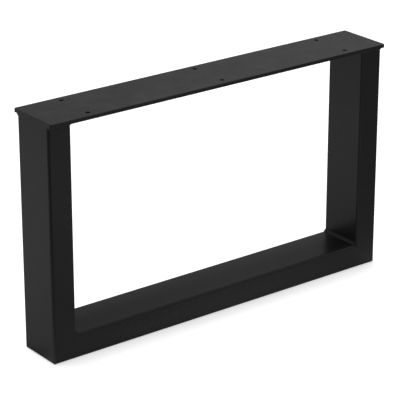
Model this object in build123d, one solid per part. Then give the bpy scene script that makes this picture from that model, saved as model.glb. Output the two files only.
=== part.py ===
from build123d import *
import os

# Welded steel U-frame table leg: two uprights and a floor rail of rectangular
# hollow section, mitred at the bottom corners, under a flat screw plate.
# X runs along the plate, Y across the tube, Z up. The origin is the middle of
# the footprint, on the floor.

# overall
HEIGHT = 380.0            # floor to the top face of the plate
FRAME_W = 636.0           # outside to outside of the uprights, along X

# rectangular hollow section
TUBE_D = 80.0             # wide side, across Y
TUBE_T = 40.0             # narrow side, in the plane of the frame
WALL = 2.5
R_OUT = 4.0               # outside corner radius of the section
R_IN = 1.5                # inside corner radius of the section
CORNER_R = 3.0            # ground round on the two outer bottom corners

# top plate
PLATE_L = 636.6
PLATE_D = 96.0
PLATE_T = 6.0
PLATE_CORNER_R = 2.5      # plan corners
PLATE_TOP_R = 0.9         # rounded top edge, all round
PLATE_LOW_R = 0.25        # broken bottom edge, all round

# screw holes
HOLE_R = 3.5
HOLE_EDGE = 0.3           # broken edge of each hole on the top face
HOLE_X = 245.0            # outer pairs at -X and +X, one pair on the middle
HOLE_Y = 34.0             # front and back rows

# weld beads
BEAD_DOWN = 6.0           # leg of the plate bead down the tube
BEAD_OUT = 3.4            # leg of the plate bead out from the front, the inner side and the back
BEAD_END = 0.3            # how far short of the outer end face it is ground off
CORNER_LEG = 5.0          # leg of the bead in each inner bottom corner
CORNER_END = 1.5          # how far short of the front and back faces that bead stops

os.makedirs("parts", exist_ok=True)

TUBE_TOP = HEIGHT - PLATE_T
HX = FRAME_W / 2.0        # outer face of an upright
CX = HX - TUBE_T / 2.0    # centre line of an upright
IX = HX - TUBE_T          # inner face of an upright
HY = TUBE_D / 2.0


def name_it(shape, name):
    shape.label = name
    return shape


def section(length_x, length_y, radius):
    return RectangleRounded(length_x, length_y, radius)


def upright_bar(centre_x, grow, radius):
    """Solid bar along Z; grow is taken off each side of the section."""
    sk = Plane.XY * Pos(centre_x, 0) * section(TUBE_T - 2 * grow, TUBE_D - 2 * grow, radius)
    return extrude(sk, amount=TUBE_TOP)


def rail_bar(grow, radius):
    """Solid bar along X at floor level; grow is taken off each side."""
    plane = Plane(origin=(-HX, 0, TUBE_T / 2.0), x_dir=(0, 1, 0), z_dir=(1, 0, 0))
    sk = plane * section(TUBE_D - 2 * grow, TUBE_T - 2 * grow, radius)
    return extrude(sk, amount=FRAME_W)


def prism_y(points, half=HY + 5.0):
    """Prism along Y from a polygon given as (x, z) points."""
    plane = Plane(origin=(0, half, 0), x_dir=(1, 0, 0), z_dir=(0, -1, 0))
    sk = plane * make_face(Polyline(*[(x, z) for x, z in points], close=True))
    return extrude(sk, amount=2 * half)


# Outline of the whole frame in the XZ plane with its outer bottom corners
# ground round; the pieces are cut to it.
env_plane = Plane(origin=(0, HY + 5.0, 0), x_dir=(1, 0, 0), z_dir=(0, -1, 0))
env_face = env_plane * make_face(
    FilletPolyline(
        (-HX, TUBE_TOP), (-HX, 0), (HX, 0), (HX, TUBE_TOP),
        radius=CORNER_R,
    ) + Line((HX, TUBE_TOP), (-HX, TUBE_TOP))
)
envelope = extrude(env_face, amount=2 * (HY + 5.0))

# The mitre planes run at 45 degrees from the outer bottom corner to the inner
# corner of the frame.
BIG = 60.0
left_side = prism_y([(-HX - BIG, -BIG), (-HX + BIG, BIG), (-HX + BIG, TUBE_TOP + 1), (-HX - BIG, TUBE_TOP + 1)])
right_side = prism_y([(HX + BIG, -BIG), (HX - BIG, BIG), (HX - BIG, TUBE_TOP + 1), (HX + BIG, TUBE_TOP + 1)])
rail_zone = prism_y([(-HX - BIG, -BIG), (HX + BIG, -BIG), (HX - BIG, BIG), (-HX + BIG, BIG)])

# 1-2 uprights
left_upright = ((upright_bar(-CX, 0, R_OUT) - upright_bar(-CX, WALL, R_IN)) & left_side) & envelope
right_upright = ((upright_bar(CX, 0, R_OUT) - upright_bar(CX, WALL, R_IN)) & right_side) & envelope

# 3 floor rail
bottom_rail = ((rail_bar(0, R_OUT) - rail_bar(WALL, R_IN)) & rail_zone) & envelope

# 4 screw plate
plate = extrude(Plane.XY.offset(TUBE_TOP) * RectangleRounded(PLATE_L, PLATE_D, PLATE_CORNER_R), amount=PLATE_T)
plate = fillet(plate.faces().sort_by(Axis.Z)[-1].edges(), PLATE_TOP_R)
plate = fillet(plate.faces().sort_by(Axis.Z)[0].edges(), PLATE_LOW_R)
for hx in (-HOLE_X, 0.0, HOLE_X):
    for hy in (-HOLE_Y, HOLE_Y):
        plate -= Pos(hx, hy, TUBE_TOP + PLATE_T / 2.0) * Cylinder(HOLE_R, PLATE_T + 2)
        plate -= Pos(hx, hy, HEIGHT - HOLE_EDGE / 2.0) * Cone(HOLE_R, HOLE_R + HOLE_EDGE, HOLE_EDGE)
top_plate = plate


# 5-6 fillet bead under the plate on three sides of each upright: front, inner
# side and back. The seam at the outer end is ground flush and has no bead.
def plate_bead(sign):
    centre_x = sign * CX
    upper = Plane.XY.offset(TUBE_TOP) * Pos(centre_x, 0) * section(
        TUBE_T + 2 * BEAD_OUT, TUBE_D + 2 * BEAD_OUT, R_OUT + BEAD_OUT)
    lower = Plane.XY.offset(TUBE_TOP - BEAD_DOWN) * Pos(centre_x, 0) * section(
        TUBE_T + 0.2, TUBE_D + 0.2, R_OUT + 0.1)
    body = loft([lower, upper]) - upright_bar(centre_x, 0, R_OUT)
    inside = Pos(0, 0, TUBE_TOP) * Box(2 * (HX - BEAD_END), 2 * PLATE_D, 4 * BEAD_DOWN)
    return body & inside


left_plate_weld = plate_bead(-1)
right_plate_weld = plate_bead(1)


# 7-8 fillet bead across each inner bottom corner
def corner_bead(sign):
    x0 = sign * IX
    z0 = TUBE_T
    half = HY - CORNER_END
    plane = Plane(origin=(0, half, 0), x_dir=(1, 0, 0), z_dir=(0, -1, 0))
    sk = plane * make_face(Polyline(
        (x0, z0), (x0 - sign * CORNER_LEG, z0), (x0, z0 + CORNER_LEG), close=True))
    return extrude(sk, amount=2 * half)


left_corner_weld = corner_bead(-1)
right_corner_weld = corner_bead(1)

nodes = {
    "top_plate": top_plate,
    "left_upright": left_upright,
    "right_upright": right_upright,
    "bottom_rail": bottom_rail,
    "left_plate_weld": left_plate_weld,
    "right_plate_weld": right_plate_weld,
    "left_corner_weld": left_corner_weld,
    "right_corner_weld": right_corner_weld,
}

for name, shape in nodes.items():
    solid = shape.solid() if hasattr(shape, "solid") else shape
    export_step(name_it(solid, name), "parts/" + name + ".step")
    print(name, "volume mm3", round(solid.volume, 1))
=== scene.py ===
import math
import random

import bpy
from mathutils import Matrix, Vector


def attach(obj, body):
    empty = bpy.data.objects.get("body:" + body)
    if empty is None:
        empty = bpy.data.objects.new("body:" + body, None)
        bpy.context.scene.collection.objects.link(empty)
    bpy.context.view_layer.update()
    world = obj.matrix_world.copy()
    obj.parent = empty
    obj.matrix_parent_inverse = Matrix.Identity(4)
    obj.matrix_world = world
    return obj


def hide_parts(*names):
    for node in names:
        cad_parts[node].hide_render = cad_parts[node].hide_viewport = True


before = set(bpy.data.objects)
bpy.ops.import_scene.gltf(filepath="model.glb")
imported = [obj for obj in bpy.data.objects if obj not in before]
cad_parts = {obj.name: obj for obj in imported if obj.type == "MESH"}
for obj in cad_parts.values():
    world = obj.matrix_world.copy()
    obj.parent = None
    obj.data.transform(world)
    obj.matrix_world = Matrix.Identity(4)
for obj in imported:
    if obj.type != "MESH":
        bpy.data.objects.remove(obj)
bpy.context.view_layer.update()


random.seed(41)

# ---------------------------------------------------------------- dimensions
# metres, the same numbers as the construction
HEIGHT = 0.380
PLATE_T = 0.006
TUBE_TOP = HEIGHT - PLATE_T
FRAME_W = 0.636
TUBE_D = 0.080
TUBE_T = 0.040
R_OUT = 0.004
CX = FRAME_W / 2 - TUBE_T / 2
IX = FRAME_W / 2 - TUBE_T

# ------------------------------------------------------------------ materials


class Nodes:
    """Small helper that lays nodes out in a tree and links them."""

    def __init__(self, tree):
        self.tree = tree
        self.n = 0

    def add(self, kind, **values):
        node = self.tree.nodes.new(kind)
        node.location = (-1600 + 180 * (self.n % 9), 500 - 260 * (self.n // 9))
        self.n += 1
        for key, value in values.items():
            setattr(node, key, value)
        return node

    def link(self, a, b):
        self.tree.links.new(a, b)


def noise(t, coord, scale, detail=2.0, rough=0.5, distortion=0.0):
    node = t.add("ShaderNodeTexNoise")
    node.inputs["Scale"].default_value = scale
    node.inputs["Detail"].default_value = detail
    node.inputs["Roughness"].default_value = rough
    node.inputs["Distortion"].default_value = distortion
    t.link(coord, node.inputs["Vector"])
    return node.outputs["Fac"]


def map_range(t, value, lo, hi, to_lo, to_hi):
    node = t.add("ShaderNodeMapRange")
    node.inputs["From Min"].default_value = lo
    node.inputs["From Max"].default_value = hi
    node.inputs["To Min"].default_value = to_lo
    node.inputs["To Max"].default_value = to_hi
    t.link(value, node.inputs["Value"])
    return node.outputs["Result"]


def maths(t, op, a, b):
    node = t.add("ShaderNodeMath", operation=op)
    for socket, value in zip(node.inputs, (a, b)):
        if isinstance(value, (int, float)):
            socket.default_value = value
        else:
            t.link(value, socket)
    return node.outputs[0]


def mix_colour(t, fac, a, b):
    node = t.add("ShaderNodeMix", data_type="RGBA")
    t.link(fac, node.inputs["Factor"])
    for socket, value in ((node.inputs[6], a), (node.inputs[7], b)):
        if isinstance(value, tuple):
            socket.default_value = value + (1.0,)
        else:
            t.link(value, socket)
    return node.outputs[2]


def powder_coat(name, dark, light, rough_lo, rough_hi, grain, peel, specular, uneven=0.0, patch=9.0):
    """Matt black powder coat: a fine pebbled grain over a soft orange peel,
    with slow drifts in film thickness that show in the tone and the gloss."""
    mat = bpy.data.materials.new(name)
    mat.use_nodes = True
    tree = mat.node_tree
    tree.nodes.clear()
    t = Nodes(tree)
    coord = t.add("ShaderNodeTexCoord").outputs["Object"]

    # slow drifts, a few centimetres across
    cloud = noise(t, coord, patch, 2.0, 0.45, 0.4)
    drift = noise(t, coord, patch * 2.6, 2.0, 0.5, 0.2)
    # orange peel, a few millimetres across, and the grain of the powder
    waves = noise(t, coord, 330.0, 2.0, 0.45)
    fine = noise(t, coord, 1500.0, 2.0, 0.6)
    # sparse specks where the powder lies thicker
    specks = t.add("ShaderNodeTexVoronoi", feature="F1")
    specks.inputs["Scale"].default_value = 260.0
    t.link(coord, specks.inputs["Vector"])
    nib = map_range(t, specks.outputs["Distance"], 0.05, 0.16, 1.0, 0.0)

    tone = map_range(t, maths(t, "ADD", maths(t, "MULTIPLY", cloud, 0.65), maths(t, "MULTIPLY", drift, 0.35)),
                     0.40, 0.60, 0.0, 1.0)
    tone2 = maths(t, "ADD", maths(t, "MULTIPLY", tone, 0.75), maths(t, "MULTIPLY", fine, 0.25))
    colour = mix_colour(t, tone2, dark, light)

    gloss = maths(t, "ADD", maths(t, "MULTIPLY", cloud, 0.5), maths(t, "MULTIPLY", waves, 0.5))
    roughness = map_range(t, gloss, 0.36, 0.64, rough_lo, rough_hi)

    shader = t.add("ShaderNodeBsdfPrincipled")
    shader.inputs["Metallic"].default_value = 0.0
    shader.inputs["IOR"].default_value = 1.5
    shader.inputs["Specular IOR Level"].default_value = specular
    t.link(colour, shader.inputs["Base Color"])
    t.link(roughness, shader.inputs["Roughness"])

    bump_a = t.add("ShaderNodeBump")
    bump_a.inputs["Strength"].default_value = 1.0
    bump_a.inputs["Distance"].default_value = peel
    t.link(waves, bump_a.inputs["Height"])
    bump_b = t.add("ShaderNodeBump")
    bump_b.inputs["Strength"].default_value = 1.0
    bump_b.inputs["Distance"].default_value = grain
    t.link(fine, bump_b.inputs["Height"])
    t.link(bump_a.outputs["Normal"], bump_b.inputs["Normal"])
    bump_c = t.add("ShaderNodeBump")
    bump_c.inputs["Strength"].default_value = 0.6
    bump_c.inputs["Distance"].default_value = grain * 1.5
    t.link(nib, bump_c.inputs["Height"])
    t.link(bump_b.outputs["Normal"], bump_c.inputs["Normal"])
    last = bump_c
    if uneven:
        lumps = noise(t, coord, 620.0, 3.0, 0.6, 0.4)
        bump_d = t.add("ShaderNodeBump")
        bump_d.inputs["Strength"].default_value = 1.0
        bump_d.inputs["Distance"].default_value = uneven
        t.link(lumps, bump_d.inputs["Height"])
        t.link(bump_c.outputs["Normal"], bump_d.inputs["Normal"])
        last = bump_d
    t.link(last.outputs["Normal"], shader.inputs["Normal"])

    out = t.add("ShaderNodeOutputMaterial")
    t.link(shader.outputs["BSDF"], out.inputs["Surface"])
    return mat


tube_coat = powder_coat("tube_coat", (0.0140, 0.0140, 0.0143), (0.0200, 0.0200, 0.0203),
                        0.27, 0.37, 0.000009, 0.000016, 0.5)
plate_coat = powder_coat("plate_coat", (0.0128, 0.0128, 0.0131), (0.0240, 0.0240, 0.0243),
                         0.25, 0.40, 0.000009, 0.000016, 0.5, patch=14.0)
# the weld coat is the same powder coat painted darker: painted shade on the beads, which sit in the shaded
# corners under the plate and at the foot of the uprights
weld_coat = powder_coat("weld_coat", (0.0100, 0.0100, 0.0103), (0.0135, 0.0135, 0.0138),
                        0.33, 0.43, 0.000010, 0.000018, 0.5, uneven=0.00008)

finish = {
    "top_plate": plate_coat,
    "left_upright": tube_coat,
    "right_upright": tube_coat,
    "bottom_rail": tube_coat,
    "left_plate_weld": weld_coat,
    "right_plate_weld": weld_coat,
    "left_corner_weld": weld_coat,
    "right_corner_weld": weld_coat,
}
for node_name, mat in finish.items():
    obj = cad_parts[node_name]
    for slot in obj.material_slots:
        slot.material = mat

# ----------------------------------------------------------------- weld beads


def bead(name, stations, closed, ripple=0.0024, depth=0.00022):
    """Rippled fillet bead. A station is (distance along the seam, root point,
    direction and length of the first leg, direction and length of the second
    leg). The face bulges a little and carries crescent ripples; each ripple
    has its own length and height."""
    total = stations[-1][0] + (stations[1][0] if closed else 0.0)
    # ripple boundaries along the seam
    marks = [0.0]
    while marks[-1] < total:
        marks.append(marks[-1] + ripple * random.uniform(0.78, 1.22))
    heights = [random.uniform(0.65, 1.25) for _ in marks]
    if closed:
        scale = total / marks[-1]
        marks = [m * scale for m in marks]

    def crest(s):
        if closed:
            s %= total
        s = min(max(s, 0.0), marks[-1] - 1e-9)
        lo, hi = 0, len(marks) - 1
        while hi - lo > 1:
            mid = (lo + hi) // 2
            if marks[mid] <= s:
                lo = mid
            else:
                hi = mid
        f = (s - marks[lo]) / (marks[lo + 1] - marks[lo])
        # steep at the start of each ripple, easing off towards the next
        return heights[lo] * (math.sin(math.pi * f ** 0.7) - 0.35)

    across = 12
    verts, faces, rings = [], [], []
    for s, root, da, la, db, lb in stations:
        root, da, db = Vector(root), Vector(da), Vector(db)
        diag = (da + db).normalized()
        ring = []
        # the root lies just inside the two plates
        ring.append(root - (da + db) * 0.0003)
        ring.append(root + da * la - db * 0.0003)
        for k in range(across + 1):
            f = k / across
            point = root + da * (la * (1 - f)) + db * (lb * f)
            swell = math.sin(math.pi * f)
            bulge = 0.13 * min(la, lb) * swell
            rip = depth * crest(s - 0.0011 * (swell - 0.6)) * swell ** 0.6 * min(1.0, min(la, lb) / 0.002)
            ring.append(point + diag * (bulge + rip))
        ring.append(root + db * lb - da * 0.0003)
        rings.append([len(verts) + i for i in range(len(ring))])
        verts += [tuple(v) for v in ring]
    count = len(rings)
    m = len(rings[0])
    for i in range(count if closed else count - 1):
        a, b = rings[i], rings[(i + 1) % count]
        for k in range(m):
            faces.append((a[k], a[(k + 1) % m], b[(k + 1) % m], b[k]))
    if not closed:
        faces.append(tuple(reversed(rings[0])))
        faces.append(tuple(rings[-1]))
    mesh = bpy.data.meshes.new(name)
    mesh.from_pydata(verts, [], faces)
    mesh.update()
    import bmesh
    bm = bmesh.new()
    bm.from_mesh(mesh)
    bmesh.ops.recalc_face_normals(bm, faces=bm.faces)
    bm.to_mesh(mesh)
    bm.free()
    for poly in mesh.polygons:
        poly.use_smooth = True
    obj = bpy.data.objects.new(name, mesh)
    bpy.context.scene.collection.objects.link(obj)
    obj.data.materials.append(weld_coat)
    return obj


def plate_bead(name, sign):
    """On the front, the inner side and the back of an upright, in the corner
    under the plate. Its two ends run out flush with the outer end face."""
    hx, hy, r = TUBE_T / 2, TUBE_D / 2, R_OUT
    step = 0.0004
    outline = []
    # u runs from the outer end face towards the window; straight runs and arcs
    # from the outer front corner round the inner side to the outer back corner
    segs = [
        ("arc", (-hx + r, -hy + r), 200.0, 270.0),
        ("line", (-hx + r, -hy), (hx - r, -hy), (0, -1)),
        ("arc", (hx - r, -hy + r), 270.0, 360.0),
        ("line", (hx, -hy + r), (hx, hy - r), (1, 0)),
        ("arc", (hx - r, hy - r), 0.0, 90.0),
        ("line", (hx - r, hy), (-hx + r, hy), (0, 1)),
        ("arc", (-hx + r, hy - r), 90.0, 160.0),
    ]
    s = 0.0
    for seg in segs:
        if seg[0] == "line":
            a, b = Vector(seg[1]), Vector(seg[2])
            length = (b - a).length
            n = max(2, round(length / step))
            for i in range(n):
                outline.append((s + length * i / n, a.lerp(b, i / n), Vector(seg[3])))
        else:
            length = math.radians(seg[3] - seg[2]) * r
            n = max(6, round(length / step))
            for i in range(n + (seg is segs[-1])):
                ang = math.radians(seg[2] + (seg[3] - seg[2]) * i / n)
                d = Vector((math.cos(ang), math.sin(ang)))
                outline.append((s + length * i / n, Vector(seg[1]) + d * r, d))
        s += length
    total = s
    phase = [random.uniform(0, 2 * math.pi) for _ in range(6)]
    centre_x = sign * CX
    stations = []
    for s, p, n in outline:
        # slow wander of the hand
        w = sum(math.sin(2 * math.pi * k * s / total + phase[i]) for i, k in enumerate((3, 5, 8, 13, 17, 23))) / 6
        out = 0.0029 * (1 + 0.10 * w)
        if n.x < -0.05:
            # not past the outer end face
            out = min(out, max(0.00012, 0.75 * (p.x + hx) / -n.x - 0.0001))
        down = 0.0054 * (1 - 0.12 * w) * min(1.0, 0.55 + 0.45 * out / 0.0016)
        stations.append((s, (centre_x - sign * p.x, p.y, TUBE_TOP), (-sign * n.x, n.y, 0), out, (0, 0, -1), down))
    return bead(name, stations, False)


def corner_bead(name, sign):
    """Across an inner bottom corner, following the rounded edges of the tube
    at the front and the back."""
    half = TUBE_D / 2 - 0.0004
    flat = TUBE_D / 2 - R_OUT
    step = 0.0004
    n = round(2 * half / step)
    phase = [random.uniform(0, 2 * math.pi) for _ in range(4)]
    stations = []
    for i in range(n + 1):
        s = 2 * half * i / n
        y = -half + s
        w = sum(math.sin(2 * math.pi * s / L + phase[k]) for k, L in enumerate((0.031, 0.019, 0.012, 0.008))) / 4
        over = max(0.0, abs(y) - flat)
        sunk = R_OUT - math.sqrt(R_OUT ** 2 - over ** 2)
        leg_x = 0.0044 * (1 + 0.08 * w)
        leg_z = 0.0044 * (1 - 0.08 * w)
        stations.append((s, (sign * (IX + sunk), y, TUBE_T - sunk), (-sign, 0, 0), leg_x, (0, 0, 1), leg_z))
    return bead(name, stations, False, ripple=0.0026, depth=0.00016)


pieces = [
    (plate_bead("left_plate_bead", -1), "left_plate_weld"),
    (plate_bead("right_plate_bead", 1), "right_plate_weld"),
    (corner_bead("left_corner_bead", -1), "left_corner_weld"),
    (corner_bead("right_corner_bead", 1), "right_corner_weld"),
]
for piece, node_name in pieces:
    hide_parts(node_name)
    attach(piece, "root")

# ---------------------------------------------------------------------- stage
floor_mesh = bpy.data.meshes.new("floor")
S = 14.0
floor_mesh.from_pydata([(-S, -S, 0), (S, -S, 0), (S, S, 0), (-S, S, 0)], [], [(0, 1, 2, 3)])
floor = bpy.data.objects.new("floor", floor_mesh)
floor.location.z = -0.0002
bpy.context.scene.collection.objects.link(floor)
floor_mat = bpy.data.materials.new("studio_floor")
floor_mat.use_nodes = True
ft = Nodes(floor_mat.node_tree)
floor_mat.node_tree.nodes.clear()
fcoord = ft.add("ShaderNodeTexCoord").outputs["Object"]


def painted_light_pool(t, coord, centre, radius, amount, stretch=1.0):
    """Painted pool of light on the floor, painted shade where the amount is negative; round or stretched along X.
    """
    flat = t.add("ShaderNodeVectorMath", operation="MULTIPLY")
    t.link(coord, flat.inputs[0])
    flat.inputs[1].default_value = (1.0 / stretch, 1.0, 0.0)
    far = t.add("ShaderNodeVectorMath", operation="DISTANCE")
    t.link(flat.outputs["Vector"], far.inputs[0])
    far.inputs[1].default_value = (centre[0] / stretch, centre[1], 0.0)
    node = t.add("ShaderNodeMapRange", interpolation_type="SMOOTHSTEP")
    node.inputs["From Min"].default_value = 0.0
    node.inputs["From Max"].default_value = radius
    node.inputs["To Min"].default_value = amount
    node.inputs["To Max"].default_value = 0.0
    t.link(far.outputs["Value"], node.inputs["Value"])
    return node.outputs["Result"]


# What the coat picks up from the floor: grey, with painted pools of light (a painted strip of light along the
# foot of the rail over the plate's shadow) and painted shade on the near left.
tone = 0.128
for centre, radius, amount, stretch in (
    ((-0.85, 0.70), 1.50, 0.134, 1.0),     # behind the left end
    ((0.00, 0.50), 0.80, 0.115, 1.0),      # behind the window
    ((0.15, -0.72), 0.65, 0.155, 1.0),     # in front
    ((0.12, -0.12), 0.50, 0.06, 1.0),      # nearer the rail
    # painted light over the plate's shadow on the floor
    ((0.00, -0.04), 0.06, 0.42, 12.0),     # along the foot of the rail
    # painted shade
    ((-0.85, -0.70), 0.85, -0.062, 1.0),   # dimmer on the near left
):
    tone = maths(ft, "ADD", painted_light_pool(ft, fcoord, centre, radius, amount, stretch), tone)
# the coat sees these painted pools in its reflections and bounce light; the camera does not
painted_light_floor = ft.add("ShaderNodeBsdfDiffuse")
ft.link(tone, painted_light_floor.inputs["Color"])
# What the eye sees of it: a plain pale sweep.
pale = noise(ft, fcoord, 1.3, 2.0, 0.5)
fcol = mix_colour(ft, pale, (0.49, 0.49, 0.49), (0.51, 0.51, 0.51))
sweep = ft.add("ShaderNodeBsdfDiffuse")
ft.link(fcol, sweep.inputs["Color"])
glow = ft.add("ShaderNodeEmission")
glow.inputs["Color"].default_value = (1, 1, 1, 1)
glow.inputs["Strength"].default_value = 0.6
lit = ft.add("ShaderNodeAddShader")
ft.link(sweep.outputs[0], lit.inputs[0])
ft.link(glow.outputs[0], lit.inputs[1])
seen = ft.add("ShaderNodeLightPath")
fpick = ft.add("ShaderNodeMixShader")
ft.link(seen.outputs["Is Camera Ray"], fpick.inputs[0])
ft.link(painted_light_floor.outputs[0], fpick.inputs[1])
ft.link(lit.outputs[0], fpick.inputs[2])
# from below it is clear, so the underside of the rail can be looked at
under = ft.add("ShaderNodeNewGeometry")
clear = ft.add("ShaderNodeBsdfTransparent")
fside = ft.add("ShaderNodeMixShader")
ft.link(under.outputs["Backfacing"], fside.inputs[0])
ft.link(fpick.outputs[0], fside.inputs[1])
ft.link(clear.outputs[0], fside.inputs[2])
fout = ft.add("ShaderNodeOutputMaterial")
ft.link(fside.outputs[0], fout.inputs["Surface"])
floor_mesh.materials.append(floor_mat)


def sun(name, azimuth, elevation, strength, spread):
    """Soft directional light; azimuth 0 is the front (-Y) side, -90 the left."""
    data = bpy.data.lights.new(name, "SUN")
    data.energy = strength
    data.angle = math.radians(spread)
    obj = bpy.data.objects.new(name, data)
    a, e = math.radians(azimuth), math.radians(elevation)
    to_light = Vector((math.sin(a) * math.cos(e), -math.cos(a) * math.cos(e), math.sin(e)))
    obj.rotation_euler = to_light.to_track_quat("Z", "Y").to_euler()
    # a large diffuser overhead: it lights the surfaces and casts the soft
    # shadow, without a hot mirror image of itself in the satin coat
    obj.visible_glossy = False
    bpy.context.scene.collection.objects.link(obj)
    return obj


sun("overhead", 175.0, 87.3, 3.7, 14.0)

world = bpy.data.worlds.new("studio")
bpy.context.scene.world = world
world.use_nodes = True
wt = world.node_tree
wt.nodes.clear()
w = Nodes(wt)
wdir = w.add("ShaderNodeTexCoord").outputs["Generated"]
lean = w.add("ShaderNodeVectorMath", operation="DOT_PRODUCT")
w.link(wdir, lean.inputs[0])
lean.inputs[1].default_value = (0.80, 0.57, 0.17)
room = w.add("ShaderNodeBackground")
room.inputs["Color"].default_value = (1, 1, 1, 1)
# a broad glow behind and to the right, dimmer round to the front, and a soft
# ceiling
glow_ramp = w.add("ShaderNodeMapRange", interpolation_type="SMOOTHSTEP")
for key, value in (("From Min", 0.84), ("From Max", 1.0), ("To Min", 0.0), ("To Max", 0.17)):
    glow_ramp.inputs[key].default_value = value
w.link(lean.outputs["Value"], glow_ramp.inputs["Value"])
split = w.add("ShaderNodeSeparateXYZ")
w.link(wdir, split.inputs[0])
ceiling = w.add("ShaderNodeMapRange", interpolation_type="SMOOTHSTEP")
for key, value in (("From Min", 0.33), ("From Max", 0.75), ("To Min", 0.0), ("To Max", 0.12)):
    ceiling.inputs[key].default_value = value
w.link(split.outputs["Z"], ceiling.inputs["Value"])
total = maths(w, "ADD", maths(w, "ADD", map_range(w, lean.outputs["Value"], -1.0, 0.9, 0.07, 0.11),
                              glow_ramp.outputs["Result"]), ceiling.outputs["Result"])
high = w.add("ShaderNodeVectorMath", operation="DOT_PRODUCT")
w.link(wdir, high.inputs[0])
high.inputs[1].default_value = (-0.45, 0.65, 0.61)
window = w.add("ShaderNodeMapRange", interpolation_type="SMOOTHSTEP")
for key, value in (("From Min", 0.72), ("From Max", 1.0), ("To Min", 0.0), ("To Max", 0.05)):
    window.inputs[key].default_value = value
w.link(high.outputs["Value"], window.inputs["Value"])
total = maths(w, "ADD", total, window.outputs["Result"])
low = w.add("ShaderNodeVectorMath", operation="DOT_PRODUCT")
w.link(wdir, low.inputs[0])
low.inputs[1].default_value = (-0.66, 0.74, 0.10)
sill = w.add("ShaderNodeMapRange", interpolation_type="SMOOTHSTEP")
for key, value in (("From Min", 0.78), ("From Max", 1.0), ("To Min", 0.0), ("To Max", 0.16)):
    sill.inputs[key].default_value = value
w.link(low.outputs["Value"], sill.inputs["Value"])
total = maths(w, "ADD", total, sill.outputs["Result"])
# two soft panels high in front, which the long edge of the floor rail picks up
front = w.add("ShaderNodeVectorMath", operation="DOT_PRODUCT")
w.link(wdir, front.inputs[0])
front.inputs[1].default_value = (0.56, -0.42, 0.71)
bank = w.add("ShaderNodeMapRange", interpolation_type="SMOOTHSTEP")
for key, value in (("From Min", 0.74), ("From Max", 1.0), ("To Min", 0.0), ("To Max", 0.21)):
    bank.inputs[key].default_value = value
w.link(front.outputs["Value"], bank.inputs["Value"])
total = maths(w, "ADD", total, bank.outputs["Result"])
above = w.add("ShaderNodeVectorMath", operation="DOT_PRODUCT")
w.link(wdir, above.inputs[0])
above.inputs[1].default_value = (0.50, 0.16, 0.85)
panel = w.add("ShaderNodeMapRange", interpolation_type="SMOOTHSTEP")
for key, value in (("From Min", 0.86), ("From Max", 1.0), ("To Min", 0.0), ("To Max", 0.16)):
    panel.inputs[key].default_value = value
w.link(above.outputs["Value"], panel.inputs["Value"])
total = maths(w, "ADD", total, panel.outputs["Result"])
w.link(total, room.inputs["Strength"])
white = w.add("ShaderNodeBackground")
white.inputs["Color"].default_value = (1, 1, 1, 1)
white.inputs["Strength"].default_value = 1.0
path = w.add("ShaderNodeLightPath")
pick = w.add("ShaderNodeMixShader")
w.link(path.outputs["Is Camera Ray"], pick.inputs[0])
w.link(room.outputs[0], pick.inputs[1])
w.link(white.outputs[0], pick.inputs[2])
wout = w.add("ShaderNodeOutputWorld")
w.link(pick.outputs[0], wout.inputs["Surface"])

# --------------------------------------------------------------------- camera
AZ, PITCH = math.radians(-37.50), math.radians(21.69)
CAM = Vector((-1.7459, -2.2547, 1.3088))
LENS = 1972.0 / 400.0 * 36.0
back = Vector((math.sin(AZ) * math.cos(PITCH), -math.cos(AZ) * math.cos(PITCH), math.sin(PITCH)))
right = back.cross(Vector((0, 0, 1))) * -1.0
right.normalize()
up = back.cross(right)
cam_data = bpy.data.cameras.new("camera")
cam_data.sensor_width = 36.0
cam_data.sensor_fit = "HORIZONTAL"
cam_data.lens = LENS
cam_data.clip_end = 100.0
cam = bpy.data.objects.new("camera", cam_data)
rot = Matrix((right, up, back)).transposed()
cam.matrix_world = Matrix.Translation(CAM) @ rot.to_4x4()
bpy.context.scene.collection.objects.link(cam)
bpy.context.scene.camera = cam

bpy.context.scene.view_settings.view_transform = "Standard"
bpy.context.scene.view_settings.look = "None"
